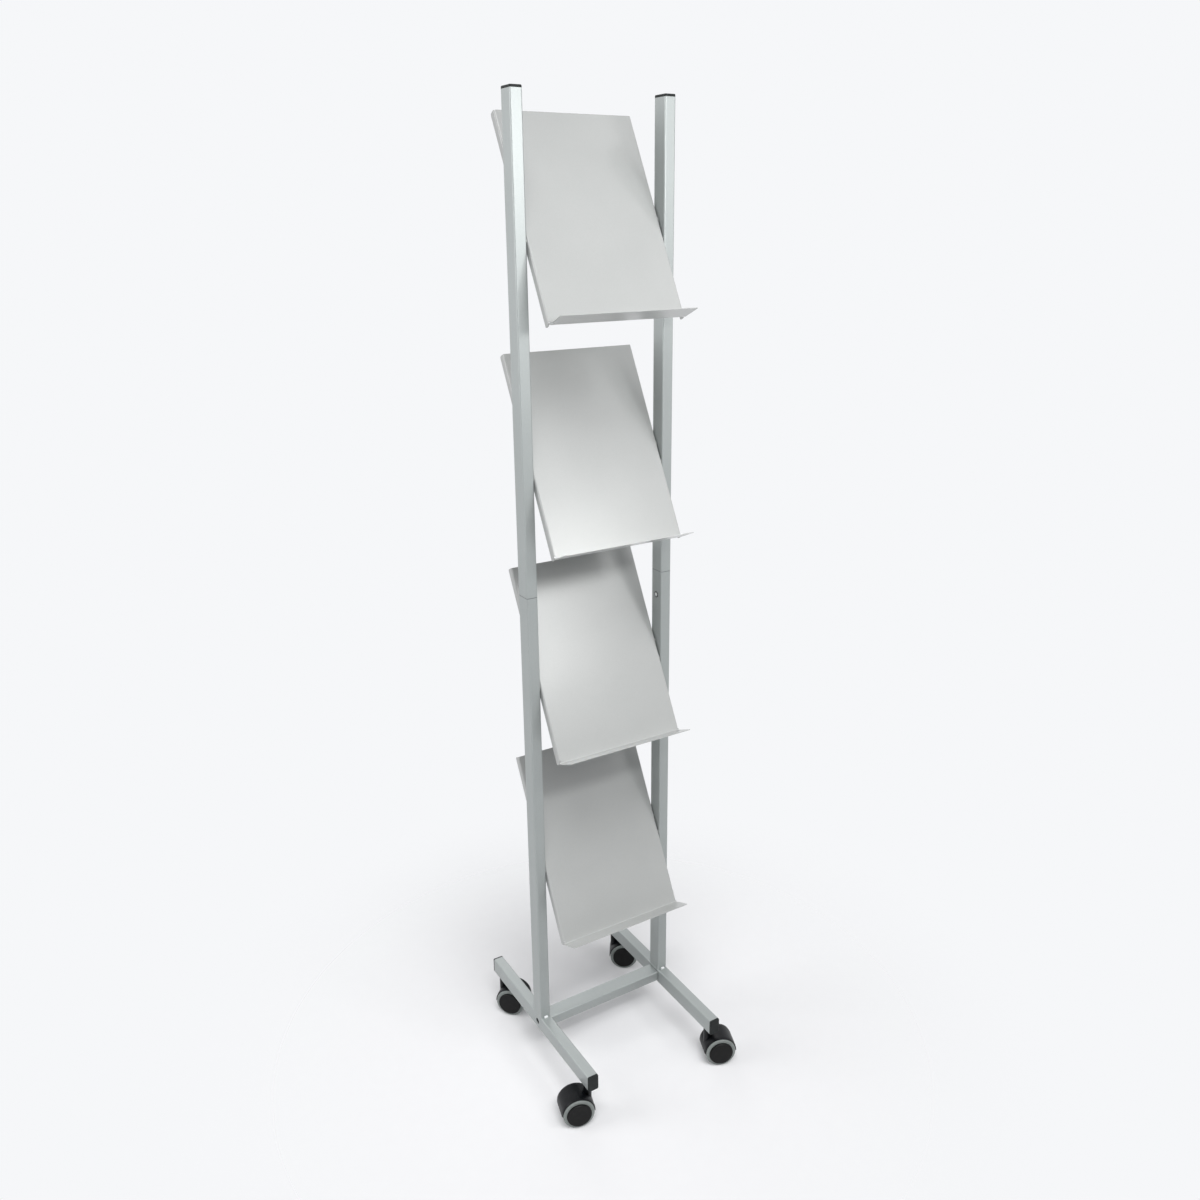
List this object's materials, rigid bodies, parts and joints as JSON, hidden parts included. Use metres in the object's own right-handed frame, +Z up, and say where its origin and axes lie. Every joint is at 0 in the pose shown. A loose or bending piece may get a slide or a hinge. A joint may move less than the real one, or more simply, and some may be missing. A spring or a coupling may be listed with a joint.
{
  "type": "periodical display rack",
  "caption": "Mobile display rack: two tall posts on castored legs carry a column of leaning sheet-metal trays with lips for magazines.",
  "frame": {"origin": "on the floor, midway between the two posts and midway along the legs; the castors stand turned as in use, which shifts the box a few millimetres to the front", "axes": "+X to the right along the crossbar, +Y to the back along the legs, +Z up"},
  "size_m": [0.3756, 0.399, 1.7084],
  "materials": {
    "frame_coating": "satin silver powder coat",
    "tray_coating": "semi-gloss silver powder coat",
    "zinc_steel": "zinc plated",
    "screw_steel": "bright zinc plated",
    "weld_metal": "coated weld bead",
    "black_caps": "moulded black",
    "castor_hood": "moulded black",
    "castor_hub": "moulded dark grey",
    "castor_tread": "soft grey tread"
  },
  "bodies": {
    "root": {"left_lower_post": "frame_coating", "right_lower_post": "frame_coating", "left_upper_post": "frame_coating", "right_upper_post": "frame_coating", "left_leg": "frame_coating", "right_leg": "frame_coating", "crossbar": "frame_coating", "tray_1": "tray_coating", "tray_2": "tray_coating", "tray_3": "tray_coating", "tray_4": "tray_coating", "left_post_connector": "zinc_steel", "right_post_connector": "zinc_steel", "crossbar_inserts": "zinc_steel", "castor_nuts": "zinc_steel", "tray_rivet_nuts": "zinc_steel", "connector_screws": "screw_steel", "crossbar_bolts": "screw_steel", "tray_screws": "screw_steel", "post_foot_welds": "weld_metal", "left_post_cap": "black_caps", "right_post_cap": "black_caps", "front_left_leg_cap": "black_caps", "front_right_leg_cap": "black_caps", "back_left_leg_cap": "black_caps", "back_right_leg_cap": "black_caps", "front_left_castor_stem": "zinc_steel", "front_right_castor_stem": "zinc_steel", "back_left_castor_stem": "zinc_steel", "back_right_castor_stem": "zinc_steel"},
    "front_left_swivel": {"front_left_castor_hood": "castor_hood", "front_left_castor_axle": "zinc_steel"},
    "front_left_wheel_1": {"front_left_castor_hub_1": "castor_hub", "front_left_castor_tread_1": "castor_tread"},
    "front_left_wheel_2": {"front_left_castor_hub_2": "castor_hub", "front_left_castor_tread_2": "castor_tread"},
    "front_right_swivel": {"front_right_castor_hood": "castor_hood", "front_right_castor_axle": "zinc_steel"},
    "front_right_wheel_1": {"front_right_castor_hub_1": "castor_hub", "front_right_castor_tread_1": "castor_tread"},
    "front_right_wheel_2": {"front_right_castor_hub_2": "castor_hub", "front_right_castor_tread_2": "castor_tread"},
    "back_left_swivel": {"back_left_castor_hood": "castor_hood", "back_left_castor_axle": "zinc_steel"},
    "back_left_wheel_1": {"back_left_castor_hub_1": "castor_hub", "back_left_castor_tread_1": "castor_tread"},
    "back_left_wheel_2": {"back_left_castor_hub_2": "castor_hub", "back_left_castor_tread_2": "castor_tread"},
    "back_right_swivel": {"back_right_castor_hood": "castor_hood", "back_right_castor_axle": "zinc_steel"},
    "back_right_wheel_1": {"back_right_castor_hub_1": "castor_hub", "back_right_castor_tread_1": "castor_tread"},
    "back_right_wheel_2": {"back_right_castor_hub_2": "castor_hub", "back_right_castor_tread_2": "castor_tread"}
  },
  "joints": [
    {"name": "front_left_swivel_turn", "type": "hinge", "parent": "root", "child": "front_left_swivel", "pos_m": [-0.1325, -0.168, 0.074], "axis": [0, 0, 1], "continuous": true},
    {"name": "front_left_wheel_1_spin", "type": "hinge", "parent": "front_left_swivel", "child": "front_left_wheel_1", "pos_m": [-0.15294, -0.16237, 0.0285], "axis": [-0.2656, -0.9641, 0], "continuous": true},
    {"name": "front_left_wheel_2_spin", "type": "hinge", "parent": "front_left_swivel", "child": "front_left_wheel_2", "pos_m": [-0.15294, -0.16237, 0.0285], "axis": [-0.2656, -0.9641, 0], "continuous": true},
    {"name": "front_right_swivel_turn", "type": "hinge", "parent": "root", "child": "front_right_swivel", "pos_m": [0.1325, -0.168, 0.074], "axis": [0, 0, 1], "continuous": true},
    {"name": "front_right_wheel_1_spin", "type": "hinge", "parent": "front_right_swivel", "child": "front_right_wheel_1", "pos_m": [0.15229, -0.1756, 0.0285], "axis": [0.3584, 0.9336, 0], "continuous": true},
    {"name": "front_right_wheel_2_spin", "type": "hinge", "parent": "front_right_swivel", "child": "front_right_wheel_2", "pos_m": [0.15229, -0.1756, 0.0285], "axis": [0.3584, 0.9336, 0], "continuous": true},
    {"name": "back_left_swivel_turn", "type": "hinge", "parent": "root", "child": "back_left_swivel", "pos_m": [-0.1325, 0.168, 0.074], "axis": [0, 0, 1], "continuous": true},
    {"name": "back_left_wheel_1_spin", "type": "hinge", "parent": "back_left_swivel", "child": "back_left_wheel_1", "pos_m": [-0.11804, 0.1525, 0.0285], "axis": [0.7314, 0.682, 0], "continuous": true},
    {"name": "back_left_wheel_2_spin", "type": "hinge", "parent": "back_left_swivel", "child": "back_left_wheel_2", "pos_m": [-0.11804, 0.1525, 0.0285], "axis": [0.7314, 0.682, 0], "continuous": true},
    {"name": "back_right_swivel_turn", "type": "hinge", "parent": "root", "child": "back_right_swivel", "pos_m": [0.1325, 0.168, 0.074], "axis": [0, 0, 1], "continuous": true},
    {"name": "back_right_wheel_1_spin", "type": "hinge", "parent": "back_right_swivel", "child": "back_right_wheel_1", "pos_m": [0.15026, 0.15642, 0.0285], "axis": [0.5461, 0.8377, 0], "continuous": true},
    {"name": "back_right_wheel_2_spin", "type": "hinge", "parent": "back_right_swivel", "child": "back_right_wheel_2", "pos_m": [0.15026, 0.15642, 0.0285], "axis": [0.5461, 0.8377, 0], "continuous": true}
  ]
}
